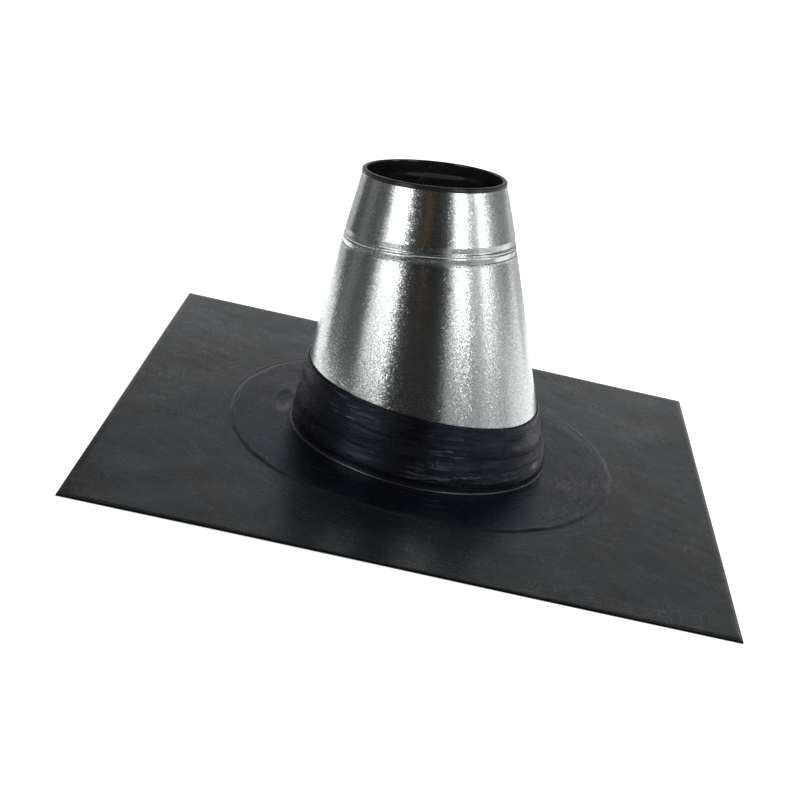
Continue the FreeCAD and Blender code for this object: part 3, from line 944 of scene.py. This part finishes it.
# %% Floor and white room
def make_floor():
    """Wide white floor; it keeps the soft shadow, and shows white to the camera and in metal."""
    mesh = bpy.data.meshes.new("studio_floor")
    corners = np.array([(-1, -1, 0), (1, -1, 0), (1, 1, 0), (-1, 1, 0)]) * 30.0 - (0, 0, 0.0004)
    mesh.from_pydata(corners.tolist(), [], [(0, 1, 2, 3)])
    material, tree, shader, _ = finish("white_floor")
    shader.inputs["Base Color"].default_value = (0.8, 0.8, 0.8, 1)
    shader.inputs["Roughness"].default_value = 1.0
    shader.inputs["Specular IOR Level"].default_value = 0.0
    shader.inputs["Emission Color"].default_value = (1, 1, 1, 1)
    ray = tree.nodes.new("ShaderNodeLightPath").outputs
    seen = maths(tree, "MAXIMUM", ray["Is Camera Ray"], ray["Is Glossy Ray"])
    seen = maths(tree, "MAXIMUM", seen, ray["Is Transmission Ray"])
    tree.links.new(maths(tree, "MULTIPLY", seen, 0.5), shader.inputs["Emission Strength"])
    mesh.materials.append(material)
    floor = bpy.data.objects.new("studio_floor", mesh)
    bpy.context.scene.collection.objects.link(floor)


def make_room():
    """Plain white surroundings at strength 1."""
    world = bpy.data.worlds.new("white_room")
    bpy.context.scene.world = world
    world.use_nodes = True
    background = world.node_tree.nodes["Background"].inputs
    background["Color"].default_value = (1, 1, 1, 1)
    background["Strength"].default_value = 1.0


make_floor()
make_room()
print("room ready")

# %% [markdown]
# ## Cards and lamps
# Metal only looks like metal when there is something dark to mirror. So dark and grey cards stand
# round the piece, as a studio uses them, and tall lamps beside them give the bright bands up the
# cone. Only reflections see the cards: they throw no shadow and stop no soft light.

# %% Dark cards and lamps
TARGET = Vector((-0.02, 0.0, 0.15))

# name, first and last azimuth, lowest and highest elevation in degrees, tone, distance in metres
CARDS = (
    ("dark_card_front", (-120.5, -128), (-67, -57), 0, 35, 0.018, 1.9),
    ("dark_card_front_high", -124, -60, 34, 43, 0.03, 1.9),
    ("dark_step_front", (-124, -122), -66, -16, -3, 0.015, 0.46),
    ("warm_stand", -99.5, -93.5, 15, 34, (0.14, 0.085, 0.036), 1.8),
    ("grey_ring_front", -124, -66, -12, -4.5, 0.30, 1.0),
    ("dark_ring_front", -124, -66, -4.5, 2.5, 0.035, 1.0),
    ("grey_ring_left", -153, -124, -12, -4.3, 0.16, 1.0),
    ("grey_ring_right", -66, -8, -12, 2, 0.24, 1.0),
    ("dark_card_left", 184, (213, 208), -18, 4, 0.12, 0.45),
    ("dark_card_left_high", 184, (208, 207), 4, 60, 0.12, 0.45),
    ("grey_strip_left", 168, 184, -18, 60, 0.22, 0.45),
    ("dark_card_far_left", (164, 148), 168, -18, -4, 0.14, 0.45),
    ("dark_card_far_left_high", 146, 168, -4, 60, 0.12, 0.45),
    ("grey_back", 60, 166, -20, 2, 0.55, 0.7),
    ("low_step_left", -153, -124, -15, -7, 0.17, 0.55),
    ("low_step_right", -63, -30, -14, 12, 0.34, 0.8),
    ("low_step_far_right", -30, 5, -14, 7, 0.55, 0.8),
    ("grey_strip_right", -36, -21, 3, 60, 0.60, 1.5),
    ("grey_card_right", 3, 16, 6, 60, 0.42, 1.5),
    ("dark_card_right", 16, 42, 5, 60, 0.27, 1.5),
    ("low_back_right", 42, 75, -14, 4, 0.62, 1.2),
    ("backdrop", 42, 134, 4, 48, 0.36, 1.6),
    ("ceiling", -36, 300, 41, 88, 0.06, 1.2),
)

# name, azimuth and elevation in degrees, width and height in metres, power in watts
LAMPS = (
    ("lamp_left", -137.3, 23, 0.70, 1.15, 5.2),
    ("lamp_right", -47.0, 35.5, 0.46, 1.28, 3.9),
    ("lamp_far_right", -12.5, 32, 0.32, 1.05, 2.2),
)
LAMP_DISTANCE = 1.7


def around(azimuth, elevation, distance):
    """Point at an azimuth and elevation, in degrees, and a distance from the cone."""
    a, e = math.radians(azimuth), math.radians(elevation)
    way = Vector((math.cos(a) * math.cos(e), math.sin(a) * math.cos(e), math.sin(e)))
    return TARGET + way * distance


def card(name, first, last, low, high, tone, distance):
    """Curved card between two azimuths and two elevations, seen only in reflections.

    A point at azimuth a and elevation e is distance (cos a, sin a, tan e) from the target, and
    never below the floor. An azimuth may be a pair, for the bottom and top of a slanted edge.
    """
    up = np.radians(np.linspace(low, high, 5))[:, None]
    left, right = (np.radians(np.linspace(*np.broadcast_to(edge, 2), 5))[:, None]
                   for edge in (first, last))
    a = left + (right - left) * np.linspace(0, 1, 17)
    points = np.stack([np.cos(a), np.sin(a), np.tan(up) + 0 * a], axis=-1) * distance
    points = points + np.array(TARGET)
    points[..., 2] = np.maximum(points[..., 2], 0.0)
    index = np.arange(a.size).reshape(a.shape)
    corners = [index[:-1, :-1], index[:-1, 1:], index[1:, 1:], index[1:, :-1]]
    faces = np.stack(corners, -1).reshape(-1, 4)
    mesh = bpy.data.meshes.new(name)
    mesh.from_pydata(points.reshape(-1, 3).tolist(), [], faces.tolist())
    material, tree, shader, _ = finish(name)
    shader.inputs["Base Color"].default_value = (*np.broadcast_to(tone, 3).tolist(), 1)
    shader.inputs["Roughness"].default_value = 1.0
    shader.inputs["Specular IOR Level"].default_value = 0.0
    mesh.materials.append(material)
    panel = bpy.data.objects.new(name, mesh)
    bpy.context.scene.collection.objects.link(panel)
    panel.visible_camera = False
    panel.visible_diffuse = False
    panel.visible_shadow = False


def lamp(name, azimuth, elevation, width, height, power):
    """Soft rectangular lamp that faces the cone."""
    data = bpy.data.lights.new(name, "AREA")
    data.shape = "RECTANGLE"
    data.size, data.size_y = width, height
    data.energy = power
    item = bpy.data.objects.new(name, data)
    item.location = around(azimuth, elevation, LAMP_DISTANCE)
    item.rotation_euler = (TARGET - item.location).to_track_quat("-Z", "Y").to_euler()
    bpy.context.scene.collection.objects.link(item)
    item.visible_camera = False


for row in CARDS:
    card(*row)
for row in LAMPS:
    lamp(*row)
print(len(CARDS), "cards and", len(LAMPS), "lamps")

# %% [markdown]
# ## Camera
# The camera stands in front of the sheet, a little above it, and is turned and rolled slightly.
# A long lens keeps the sheet's sides nearly parallel. The shift moves the frame without turning
# the camera.

# %% Camera
camera_data = bpy.data.cameras.new("camera")
camera_data.sensor_width = 36.0
camera_data.lens = 73.235
camera_data.shift_x = -0.0580
camera_data.shift_y = 0.0198
camera = bpy.data.objects.new("camera", camera_data)
camera.location = (-0.04417, -1.54723, 0.61923)
camera.rotation_euler = [math.radians(angle) for angle in (68.7407, -12.3577, 2.428)]
bpy.context.scene.collection.objects.link(camera)
bpy.context.scene.camera = camera
bpy.context.scene.view_settings.view_transform = "Standard"
print("camera at", tuple(camera.location))
